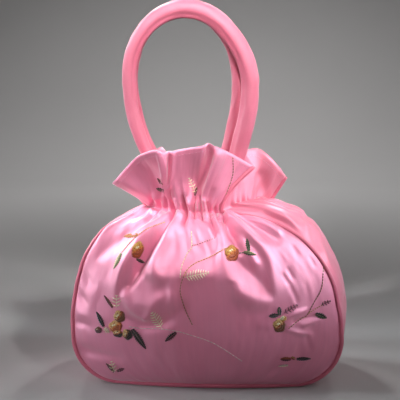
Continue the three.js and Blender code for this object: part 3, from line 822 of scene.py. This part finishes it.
def sewn_share(across, up):
    """1 where a panel is held by a seam, the casing or its hem, and 0 where it is free."""
    sides = smooth((np.abs(across) - SIDE_HELD) / SIDE_HELD_FADE)
    bottom = smooth((BASE_HELD - up) / HELD_FADE)
    casing = smooth((CASING_HELD - np.abs(up - NECK_UP)) / HELD_FADE)
    hem = smooth((up - TOP_UP + HEM_WIDTH) / HELD_FADE)
    return np.maximum.reduce([sides, bottom, casing, hem])


def springs(base, gather):
    """The cloth's springs as (row step, column step, resting lengths, stiffness)."""
    made = []
    for rows, columns, stiffness in SPRINGS:
        near, far = spring_ends(base, rows, columns)
        width, _ = spring_ends(gather, rows, columns)
        turn = spring_ends(base, 0, columns)[1][: len(near)] if columns else near
        beside, above = (turn - near) * width, (far - turn) * CUT_LENGTH
        made.append((rows, columns, np.linalg.norm(beside + above, axis=-1), stiffness))
    return made


def spring_ends(grid, rows, columns):
    """Views of a grid at both ends of the springs that step by rows and columns."""
    height, width = grid.shape[:2]
    if columns < 0:
        return grid[: height - rows, -columns:], grid[rows:, : width + columns]
    return grid[: height - rows, : width - columns], grid[rows:, columns:]


def blurred(grid):
    """A grid evened out a little between neighbours."""
    wide = np.pad(grid, ((1, 1), (1, 1), (0, 0)), mode="edge")
    rows = (wide[:-2] + 2 * wide[1:-1] + wide[2:]) / 4
    return (rows[:, :-2] + 2 * rows[:, 1:-1] + rows[:, 2:]) / 4


def settle(points, frill, across, up):
    """Lets a panel's cloth find its own folds between the places where it is held."""
    place = points.copy()
    free = (1 - sewn_share(across, up))[..., None]
    pressure = panel_normal(frill, across, up) * SETTLE_PRESSURE
    pulls = springs(points, read_table(GATHER, up))
    for _ in range(SETTLE_PASSES):
        push = pressure.copy()
        for rows, columns, rest, stiffness in pulls:
            near, far = spring_ends(place, rows, columns)
            gap = far - near
            length = np.linalg.norm(gap, axis=-1)
            move = gap * (stiffness * (length - rest) / np.maximum(length, SHORTEST_SPRING))[..., None]
            push_near, push_far = spring_ends(push, rows, columns)
            push_near += move
            push_far -= move
        place += push * free
        shift = place - points
        shift += (blurred(shift) - shift) * free * SETTLE_BENDING
        far = np.linalg.norm(shift, axis=-1, keepdims=True)
        place = points + shift * np.minimum(1, SETTLE_CAP / np.maximum(far, SHORTEST_SHIFT))
    return place


# Meshes

def make_piece(name, points, faces, material, uv=None, colour=None):
    """A smooth piece from points in millimetres, with a UV map and a colour for each point."""
    mesh = bpy.data.meshes.new(name)
    mesh.from_pydata((points * MM).tolist(), [], faces)
    mesh.update()
    corners = np.empty(len(mesh.loops), int)
    mesh.loops.foreach_get("vertex_index", corners)
    if uv is not None:
        mesh.uv_layers.new(name="UVMap").data.foreach_set("uv", uv[corners].ravel())
    if colour is not None:
        layer = mesh.color_attributes.new("thread_colour", "FLOAT_COLOR", "POINT")
        layer.data.foreach_set("color", colour.ravel())
    mesh.polygons.foreach_set("use_smooth", np.ones(len(mesh.polygons), bool))
    mesh.materials.append(material)
    piece = bpy.data.objects.new(name, mesh)
    bpy.context.scene.collection.objects.link(piece)
    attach(piece, "root")
    return piece


def grid_faces(rows, columns):
    index = np.arange(rows * columns).reshape(rows, columns)
    a, b = index[:-1, :-1].ravel(), index[:-1, 1:].ravel()
    c, d = index[1:, 1:].ravel(), index[1:, :-1].ravel()
    return np.stack([a, b, c, d], -1).tolist()


def add_wall(piece, thickness):
    """Gives a skin its thickness, inwards."""
    wall = piece.modifiers.new("wall", "SOLIDIFY")
    wall.thickness = thickness * MM
    wall.offset = -1
    bpy.ops.object.select_all(action="DESELECT")
    bpy.context.view_layer.objects.active = piece
    piece.select_set(True)
    bpy.ops.object.modifier_apply(modifier=wall.name)


def tube_frames(line):
    """Two directions square to a line at each of its points, carried along it without twist."""
    along = unit(np.gradient(line, axis=0))
    first = np.cross(along[0], TUBE_START)
    sides = [first / np.linalg.norm(first)]
    for step in along[1:]:
        carried = sides[-1] - step * (sides[-1] @ step)
        sides.append(carried / np.linalg.norm(carried))
    sides = np.array(sides)
    return sides, np.cross(along, sides)


def tube_points(line, radii, sides):
    """Rings round a line. radii is one number, or one for each point of each ring."""
    one, two = tube_frames(line)
    turn = round_angles(sides)
    ring = np.cos(turn)[None, :, None] * one[:, None] + np.sin(turn)[None, :, None] * two[:, None]
    radii = np.broadcast_to(radii, ring.shape[:2])
    return line[:, None] + ring * radii[..., None]


def tube_faces(rings, sides):
    """Faces round a tube and over both its ends."""
    index = np.arange(rings * sides).reshape(rings, sides)
    beside = np.roll(index, -1, axis=1)
    a, b = index[:-1].ravel(), beside[:-1].ravel()
    c, d = beside[1:].ravel(), index[1:].ravel()
    return [*np.stack([a, b, c, d], -1).tolist(), index[0, ::-1].tolist(), index[-1].tolist()]


class Strands:
    """Short round threads gathered into one mesh."""

    def __init__(self):
        self.points, self.faces, self.colours, self.count = [], [], [], 0

    def add(self, line, radius, colour):
        taper = np.ones(len(line))
        taper[[0, -1]] = THREAD_TIP
        points = tube_points(line, (radius * taper)[:, None], THREAD_SIDES).reshape(-1, 3)
        self.faces += [[i + self.count for i in face] for face in tube_faces(len(line), THREAD_SIDES)]
        self.points.append(points)
        self.colours.append(np.tile([*colour, 1.0], (len(points), 1)))
        self.count += len(points)

    def piece(self, name):
        colours = np.concatenate(self.colours)
        return make_piece(name, np.concatenate(self.points), self.faces, THREAD, colour=colours)


# Materials

def linear(red, green, blue):
    """A colour given in screen values from 0 to 255."""
    share = np.array([red, green, blue]) / 255
    return tuple(np.where(share <= 0.04045, share / 12.92, ((share + 0.055) / 1.055) ** 2.4))


class Finish:
    """A node material built round one shader."""

    def __init__(self, name):
        self.material = bpy.data.materials.new(name)
        self.material.use_nodes = True
        self.nodes = self.material.node_tree.nodes
        self.links = self.material.node_tree.links
        self.shader = self.nodes["Principled BSDF"]

    def node(self, kind, **settings):
        made = self.nodes.new(kind)
        for name, value in settings.items():
            setattr(made, name, value)
        return made

    def link(self, source, target):
        self.links.new(source, target)

    def stretched_noise(self, coordinates, scale, detail):
        """Noise stretched by three scales."""
        mapping = self.node("ShaderNodeMapping")
        mapping.inputs["Scale"].default_value = scale
        self.link(coordinates, mapping.inputs["Vector"])
        noise = self.node("ShaderNodeTexNoise")
        noise.inputs["Scale"].default_value = 1
        noise.inputs["Detail"].default_value = detail
        self.link(mapping.outputs["Vector"], noise.inputs["Vector"])
        return noise.outputs["Fac"]

    def ramp(self, factor, span, *colours):
        """A colour that runs from the first to the second over a span of the factor."""
        made = self.node("ShaderNodeValToRGB")
        for stop, place, colour in zip(made.color_ramp.elements, span, colours):
            stop.position = place
            stop.color = (*colour, 1)
        self.link(factor, made.inputs["Fac"])
        return made.outputs["Color"]

    def shade(self, factor, span, dark):
        """A grey that runs from dark to white over a span of the factor."""
        return self.ramp(factor, span, (dark, dark, dark), (1, 1, 1))

    def spread(self, factor, low, high):
        made = self.node("ShaderNodeMapRange")
        made.inputs["To Min"].default_value = low
        made.inputs["To Max"].default_value = high
        self.link(factor, made.inputs["Value"])
        return made.outputs["Result"]

    def shaded(self, colour, shade):
        """A colour darkened by a shade."""
        made = self.node("ShaderNodeMix", data_type="RGBA", blend_type="MULTIPLY")
        made.inputs["Factor"].default_value = 1
        self.link(colour, made.inputs["A"])
        self.link(shade, made.inputs["B"])
        return made.outputs["Result"]

    def bump(self, height, strength, distance):
        made = self.node("ShaderNodeBump")
        made.inputs["Strength"].default_value = strength
        made.inputs["Distance"].default_value = distance
        self.link(height, made.inputs["Height"])
        self.link(made.outputs["Normal"], self.shader.inputs["Normal"])

    def set(self, values):
        for name, value in values.items():
            self.shader.inputs[name].default_value = value


def satin(name, colour, deep, roughness, metallic, sheen, gloss):
    """Satin with warp streaks along the cloth, a soft drift of colour and a fine weave."""
    made = Finish(name)
    flat = made.node("ShaderNodeUVMap", uv_map="UVMap").outputs["UV"]
    place = made.node("ShaderNodeTexCoord").outputs["Object"]
    streaks = made.stretched_noise(flat, WARP_STREAKS, 4)
    drift = made.stretched_noise(place, SATIN_DRIFT, 2)
    weave = made.stretched_noise(flat, SATIN_WEAVE, 1)
    body = made.ramp(drift, DRIFT_SPAN, linear(*deep), linear(*colour))
    streaked = made.shade(streaks, STREAK_SPAN, STREAK_SHADE)
    made.link(made.shaded(body, streaked), made.shader.inputs["Base Color"])
    smoother, rougher = (roughness + change for change in STREAK_ROUGHNESS)
    made.link(made.spread(streaks, smoother, rougher), made.shader.inputs["Roughness"])
    made.bump(weave, WEAVE_BUMP, BUMP_DEPTH)
    tangent = made.node("ShaderNodeTangent", direction_type="UV_MAP", uv_map="UVMap")
    made.link(tangent.outputs["Tangent"], made.shader.inputs["Tangent"])
    made.set({"Metallic": metallic, "Sheen Weight": sheen, "Coat Weight": gloss, **SATIN_LUSTRE})
    return made.material


def thread(name):
    """Glossy thread that takes its colour from each strand."""
    made = Finish(name)
    colour = made.node("ShaderNodeAttribute", attribute_name="thread_colour").outputs["Color"]
    place = made.node("ShaderNodeTexCoord").outputs["Object"]
    twist = made.stretched_noise(place, THREAD_TWIST, 2)
    shade = made.shade(twist, DRIFT_SPAN, TWIST_SHADE)
    made.link(made.shaded(colour, shade), made.shader.inputs["Base Color"])
    made.bump(twist, TWIST_BUMP, BUMP_DEPTH)
    made.set(THREAD_LUSTRE)
    return made.material


# Values: name, colour and deeper colour in screen values, roughness, metallic, sheen, gloss.
PANEL_SATIN = satin("embroidered_panel_satin", (238, 134, 168), (233, 122, 157), 0.5, 0.42, 0.9, 0.44)
GUSSET_SATIN = satin("gusset_satin", (238, 130, 156), (230, 116, 144), 0.48, 0.35, 0.6, 0.2)
PIPING_SATIN = satin("piping_satin", (226, 112, 138), (212, 96, 124), 0.5, 0.2, 0.3, 0.15)
HANDLE_SATIN = satin("handle_satin", (204, 102, 126), (196, 92, 116), 0.55, 0.05, 0.3, 0.1)
THREAD = thread("embroidery_thread")


# Pieces

def panel_grid():
    return np.meshgrid(np.linspace(-1, 1, PANEL_COLUMNS + 1), PANEL_UPS)


def make_panel(name, frill, folds, seed, turned):
    across, up = panel_grid()
    points = panel_points(frill, across, up, folds, seed)
    points = settle(points, frill, across, up)
    if turned:
        points = half_turn(points)
    flat = np.stack([across * WIDEST * MM, up * MM], -1).reshape(-1, 2)
    faces = grid_faces(*across.shape)
    piece = make_piece(name, points.reshape(-1, 3), faces, PANEL_SATIN, uv=flat)
    add_wall(piece, CLOTH)
    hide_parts(name.replace("_cloth", ""))
    return piece, points


def make_gusset():
    points, t, over = gusset_skin()
    flat = np.stack([over * SEAM_DEPTH * MM, t * MM], -1).reshape(-1, 2)
    faces = grid_faces(*t.shape)
    piece = make_piece("gusset_cloth", points.reshape(-1, 3), faces, GUSSET_SATIN, uv=flat)
    add_wall(piece, CLOTH)
    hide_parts("gusset")
    return piece, points


def make_tube(name, line, radii, sides, material):
    """A closed tube along a line."""
    points = tube_points(line, radii, sides).reshape(-1, 3)
    girth = np.mean(radii) * round_angles(sides)
    flat = np.stack(np.meshgrid(girth, distance_along(line)), -1).reshape(-1, 2) * MM
    return make_piece(name, points, tube_faces(len(line), sides), material, uv=flat)


def make_piping(name, seam, node):
    t = np.linspace(0, PATH_LENGTH, PIPING_RINGS)
    along, around = np.meshgrid(t, round_angles(PIPING_SIDES), indexing="ij")
    pucker = PIPING_PUCKER * soft_noise(along / PIPING_PUCKER_LENGTH + around, around * 2, seed=51)
    piece = make_tube(name, seam(t), PIPING_RADIUS + pucker, PIPING_SIDES, PIPING_SATIN)
    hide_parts(node)


def handle_place(legs, foot_y, top_y, side, z):
    middle, half = np.moveaxis(read_table(legs, z), -1, 0)
    share = smooth((z - HANDLE_FOOT) / (HANDLE_TOP - HANDLE_FOOT))
    return np.stack([middle + side * half, foot_y + (top_y - foot_y) * share, z], -1)


def handle_line(legs, foot_y, top_y, rise, pull):
    """Up the left leg, over an arch whose right side is pulled in by pull, and down the right leg."""
    leg = np.linspace(HANDLE_FOOT, HANDLE_SPRING, HANDLE_LEG_POINTS, endpoint=False)
    turn = np.linspace(0, math.pi, HANDLE_ARCH_POINTS)
    arch = handle_place(legs, foot_y, top_y, -np.cos(turn), np.full_like(turn, HANDLE_SPRING))
    arch[:, 0] += ARCH_LEAN * np.sin(turn) + pull * np.minimum(np.sin(2 * turn), 0)
    arch[:, 2] += (HANDLE_TOP - HANDLE_RADIUS - HANDLE_SPRING + rise) * np.sin(turn)
    left = handle_place(legs, foot_y, top_y, -1, leg)
    right = handle_place(legs, foot_y, top_y, 1, leg[::-1])
    line = np.concatenate([left, arch, right])
    for _ in range(HANDLE_SMOOTHING):
        line[1:-1] += (line[:-2] - 2 * line[1:-1] + line[2:]) / 4
    return line


def handle_seam(line, middle_x, side):
    """Heights of the sewn seam along the inside of a loop, on its front (side -1) or its back (side 1)."""
    rings = tube_points(line, 1, HANDLE_SIDES) - line[:, None]
    down = np.minimum(HANDLE_SPRING - line[:, 2], 0)
    inward = unit(np.stack([middle_x - line[:, 0], np.zeros(len(line)), down], -1))
    angle = np.degrees(np.arctan2((rings * inward[:, None]).sum(-1), rings[..., 1] * side))
    return sum(height * np.exp(-(((angle - at) / width) ** 2)) for at, width, height in HANDLE_SEAM)


def make_handle(node, legs, top_y, rise, pull, seed):
    corners = np.array([corner.co[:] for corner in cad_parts[node].data.vertices]) / MM
    foot_y = corners[corners[:, 2] < corners[:, 2].min() + HANDLE_FOOT_SLICE, 1].mean()
    line = handle_line(legs, foot_y, top_y, rise, pull)
    ring, around = np.meshgrid(np.arange(len(line)), round_angles(HANDLE_SIDES), indexing="ij")
    radii = read_table(HANDLE_GIRTH, ring / (len(line) - 1))[..., 0]
    for i, (height, rings, wrinkles, start) in enumerate(HANDLE_WRINKLES):
        radii += height * soft_noise(ring / rings, around * wrinkles + start, seed + i)
    radii += handle_seam(line, legs[-1][1], np.sign(top_y))
    piece = make_tube(node + "_padded", line, radii, HANDLE_SIDES, HANDLE_SATIN)
    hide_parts(node)


class Embroiderer:
    """Lays threads on a panel where they lie in the photograph, or on the back panel half turned."""

    def __init__(self, points, turned):
        self.turn = np.array([-1, -1, 1]) if turned else np.ones(3)
        self.tree = BVHTree.FromPolygons(points.reshape(-1, 3).tolist(), grid_faces(*points.shape[:2]))
        self.strands = Strands()
        self.chance = np.random.default_rng(17)

    def lay(self, pixels, lifts, radius, thread_name):
        """One strand through pixels, lifted off the cloth. A strand that would jump a fold is left out."""
        pixels = np.asarray(pixels, float)
        line = []
        for ray, lift in zip(photo_rays(pixels) * self.turn, lifts):
            place, normal, _, _ = self.tree.ray_cast(Vector(EYE * self.turn), Vector(ray))
            if place is None:
                return
            line.append(place + normal * lift)
        line = np.array(line)
        if distance_along(line)[-1] > LONGEST_STRAND * distance_along(pixels)[-1] + 1:
            return
        colour = np.array(linear(*THREADS[thread_name])) * self.chance.uniform(*THREAD_SHADES)
        self.strands.add(line, radius, np.minimum(colour, 1))

    def stitch(self, start, end, lifts, radius, thread_name):
        self.lay([start, (start + end) / 2, end], lifts, radius, thread_name)

    def stitch_pair(self, base, tip, share, reach, slant, lifts, radius, names):
        """A stitch to each side of a leaf's rib, at a share of the way along it."""
        axis = (tip - base) / np.linalg.norm(tip - base)
        rib = base + (tip - base) * share
        for beside, name in zip((np.array([axis[1], -axis[0]]), np.array([-axis[1], axis[0]])), names):
            self.stitch(rib, rib + beside * reach + axis * reach * slant, lifts, radius, name)

    def leaf(self, base_x, base_y, tip_x, tip_y, half, left, right):
        """Stitches side by side along both halves of a leaf with a toothed edge."""
        base, tip = np.array([base_x, base_y]), np.array([tip_x, tip_y])
        count = max(int(np.linalg.norm(tip - base) / THREAD_PITCH), FEWEST_STITCHES)
        for i, s in enumerate(np.linspace(*LEAF_SPAN, count)):
            reach = half * math.sin(math.pi * (0.12 + 0.86 * s) ** 0.85) * (1 if i % 4 < 2 else LEAF_NICK)
            self.stitch_pair(base, tip, s, reach, LEAF_SLANT, LEAF_LIFT, THREAD_RADIUS, (left, right))

    def fern(self, base_x, base_y, tip_x, tip_y, half, name):
        """A rib with pairs of separate leaflets."""
        base, tip = np.array([base_x, base_y]), np.array([tip_x, tip_y])
        count = max(int(np.linalg.norm(tip - base) / LEAFLET_PITCH), FEWEST_STITCHES)
        self.lay(np.linspace(base, tip, RIB_POINTS), np.full(RIB_POINTS, RIB_LIFT), THREAD_RADIUS, name)
        for s in np.linspace(*LEAFLET_SPAN, count):
            reach = half * math.sin(math.pi * (0.18 + 0.76 * s)) + LEAFLET_LEAST
            self.stitch_pair(base, tip, s, reach, LEAFLET_SLANT, LEAFLET_LIFT, LEAFLET_RADIUS, (name, name))

    def bud(self, x, y, half_width, half_height, tilt, dark, body, light):
        """A rose of three rings of petals in its thread colours, with painted shade at its lower right
        and a painted highlight at its upper left.
        """
        tilt = math.radians(tilt)
        shape = np.array([[math.cos(tilt), -math.sin(tilt)], [math.sin(tilt), math.cos(tilt)]])
        shape = shape * np.array([half_width, half_height])
        threads = ((dark, dark, body, light), (dark, body, light, light), (body, light, light, "cream"))
        for (inside, outside, lift, petals, aside), names in zip(BUD_RINGS, threads):
            middle = np.array([x, y]) - shape @ np.array([aside, aside])
            girth = math.pi * outside * (half_width + half_height)
            for turn in round_angles(max(int(girth / THREAD_PITCH), FEWEST_BUD_STITCHES)):
                petal = (turn * petals / (2 * math.pi) + outside * 3) % 1
                # Painted light: a stitch takes a darker or lighter thread by its angle round the bud, as if
                # lit from the upper left.
                painted_light_share = 0.5 - 0.5 * math.cos(turn - math.pi / 4)
                painted_light_share += self.chance.uniform(-BUD_SCATTER, BUD_SCATTER)
                name = dark if petal < PETAL_GAP else names[min(max(int(painted_light_share * 4), 0), 3)]
                rim = outside * (PETAL_RIM + PETAL_ROUNDING * math.sin(math.pi * petal))
                near = middle + shape @ (inside * np.array([math.cos(turn), math.sin(turn)]))
                end = turn + BUD_SWIRL
                far = middle + shape @ (rim * np.array([math.cos(end), math.sin(end)]))
                self.stitch(near, far, (lift, lift + BUD_ARCH, lift - BUD_ARCH), THREAD_RADIUS, name)

    def stem(self, name, stitch, gap, path):
        line = smooth_line(path, STEM_POINTS)
        run = distance_along(line)
        for start in np.arange(0, run[-1] - stitch / 2, stitch + gap):
            along = np.linspace(start, min(start + stitch, run[-1]), len(STEM_LIFT))
            self.lay(read_along(line, run, along), STEM_LIFT, STEM_RADIUS, name)

    def work(self):
        for row in STEMS:
            self.stem(*row)
        for row in LEAVES:
            self.leaf(*row)
        for row in FERNS:
            self.fern(*row)
        for row in BUDS:
            self.bud(*row)
        return self.strands


def stitch_row(strands, line, normals, colour):
    """A row of stitches along a line on the cloth."""
    run = distance_along(line)
    for start in np.arange(1, run[-1] - HEM_STITCH, HEM_STITCH_PITCH):
        along = np.linspace(start, start + HEM_STITCH, len(HEM_LIFT))
        place, out = read_along(line, run, along), read_along(normals, run, along)
        strands.add(place + out * np.array(HEM_LIFT)[:, None], HEM_THREAD_RADIUS, colour)


def make_embroidery(name, points, turned):
    piece = Embroiderer(points, turned).work().piece(name)
    return piece


def make_hem_stitches(name, lines):
    strands = Strands()
    for line, normals in lines:
        stitch_row(strands, line, normals, linear(*HEM_THREAD))
    piece = strands.piece(name)
    return piece


def panel_hem(points):
    row = np.argmin(np.abs(PANEL_UPS - TOP_UP + HEM_STITCH_DOWN))
    return points[row], grid_normals(points)[row]


def gusset_hems(points):
    normals = grid_normals(points)
    step = round(HEM_STITCH_DOWN / GUSSET_STEP)
    return [(points[:, k], normals[:, k]) for k in (step, -1 - step)]


FOLDS = front_folds(*panel_grid())
front_panel, front_points = make_panel("front_panel_cloth", FRONT_FRILL, FOLDS, seed=3, turned=False)
back_panel, back_points = make_panel("back_panel_cloth", BACK_FRILL, FOLDS, seed=8, turned=True)
gusset, gusset_grid = make_gusset()
make_piping("front_piping_cord", front_seam, "front_piping")
make_piping("back_piping_cord", back_seam, "back_piping")
make_handle("front_handle", FRONT_LEGS, -HANDLE_TOP_DEPTH, FRONT_HANDLE_RISE, FRONT_ARCH_PULL, seed=61)
make_handle("back_handle", BACK_LEGS, HANDLE_TOP_DEPTH, BACK_HANDLE_RISE, BACK_ARCH_PULL, seed=71)
front_flowers = make_embroidery("front_embroidery", front_points, turned=False)
back_flowers = make_embroidery("back_embroidery", back_points, turned=True)
front_hem = make_hem_stitches("front_hem_stitches", [panel_hem(front_points)])
back_hem = make_hem_stitches("back_hem_stitches", [panel_hem(back_points)])
gusset_hem = make_hem_stitches("gusset_hem_stitches", gusset_hems(gusset_grid))


# Floor, light and camera

def make_floor():
    """A pale round floor that curves up into a backdrop on all sides."""
    bpy.ops.object.select_all(action="DESELECT")
    bpy.ops.mesh.primitive_cylinder_add(
        vertices=FLOOR_SIDES,
        radius=FLOOR_RADIUS,
        depth=BACKDROP_HEIGHT,
        location=(0, 0, BACKDROP_HEIGHT / 2),
    )
    bpy.ops.object.transform_apply(location=True)
    floor = bpy.context.object
    floor.name = "floor"
    bpy.ops.object.mode_set(mode="EDIT")
    bpy.ops.mesh.select_mode(type="FACE")
    bpy.ops.mesh.select_all(action="DESELECT")
    bpy.ops.object.mode_set(mode="OBJECT")
    # The top comes off, and the rest is turned to face the bag.
    for face in floor.data.polygons:
        face.select = face.normal.z > 0.5
    bpy.ops.object.mode_set(mode="EDIT")
    bpy.ops.mesh.delete(type="FACE")
    bpy.ops.mesh.select_all(action="SELECT")
    bpy.ops.mesh.flip_normals()
    bpy.ops.object.mode_set(mode="OBJECT")
    bend = floor.modifiers.new("sweep", "BEVEL")
    bend.limit_method = "ANGLE"
    bend.width = BACKDROP_SWEEP
    bend.segments = BACKDROP_SWEEP_STEPS
    bpy.ops.object.modifier_apply(modifier=bend.name)
    bpy.ops.object.shade_smooth()
    made = Finish("pale_floor")
    place = made.node("ShaderNodeTexCoord").outputs["Object"]
    drift = made.stretched_noise(place, FLOOR_DRIFT, 2)
    made.link(made.ramp(drift, DRIFT_SPAN, *FLOOR_TONES), made.shader.inputs["Base Color"])
    made.set({"Roughness": FLOOR_ROUGHNESS})
    floor.data.materials.append(made.material)


def compass(azimuth, elevation):
    """Direction away from the bag: azimuth runs from the front towards the right."""
    turn, tilt = math.radians(azimuth), math.radians(elevation)
    return Vector((math.sin(turn) * math.cos(tilt), -math.cos(turn) * math.cos(tilt), math.sin(tilt)))


def place_light(name, size, spread, power, place, ahead):
    lamp = bpy.data.lights.new(name, "AREA")
    lamp.size = size
    lamp.spread = math.radians(spread)
    lamp.energy = power
    light = bpy.data.objects.new(name, lamp)
    light.location = place
    light.rotation_euler = ahead.to_track_quat("-Z", "Y").to_euler()
    bpy.context.scene.collection.objects.link(light)
    return lamp


def add_light(name, azimuth, elevation, spread, aim_x, aim_height, reach, power, coolness):
    """A gridded softbox round the bag."""
    away = compass(azimuth, elevation)
    place = Vector((aim_x, 0, aim_height)) + away * reach
    lamp = place_light(name, reach * LIGHT_SIZE_SHARE, spread, power, place, -away)
    lamp.color = (1 - coolness, 1 - coolness / 4, 1)


def add_backdrop_light(azimuth, power):
    """A wide light over the far floor on one side of the bag. It is turned away from the bag."""
    away = compass(azimuth, 0)
    place = away * BACKDROP_LIGHT_REACH + Vector((0, 0, BACKDROP_LIGHT_HEIGHT))
    ahead = away * BACKDROP_LIGHT_LEAN + Vector((0, 0, -1))
    place_light("backdrop_light", BACKDROP_LIGHT_SIZE, BACKDROP_LIGHT_SPREAD, power, place, ahead)


def add_surround():
    """A faint even light from all round."""
    world = bpy.data.worlds.new("studio")
    world.use_nodes = True
    surround = world.node_tree.nodes["Background"]
    surround.inputs["Color"].default_value = SURROUND_COLOUR
    surround.inputs["Strength"].default_value = SURROUND_STRENGTH
    bpy.context.scene.world = world


def add_camera():
    data = bpy.data.cameras.new("camera")
    data.sensor_fit = "AUTO"
    data.angle = VIEW_ANGLE
    camera = bpy.data.objects.new("camera", data)
    camera.location = EYE * MM
    camera.rotation_euler = Vector(AHEAD).to_track_quat("-Z", "Y").to_euler()
    bpy.context.scene.collection.objects.link(camera)
    bpy.context.scene.camera = camera


make_floor()
for row in LIGHTS:
    add_light(*row)
for row in BACKDROP_LIGHTS:
    add_backdrop_light(*row)
add_surround()
bpy.context.scene.view_settings.view_transform = "Standard"
add_camera()
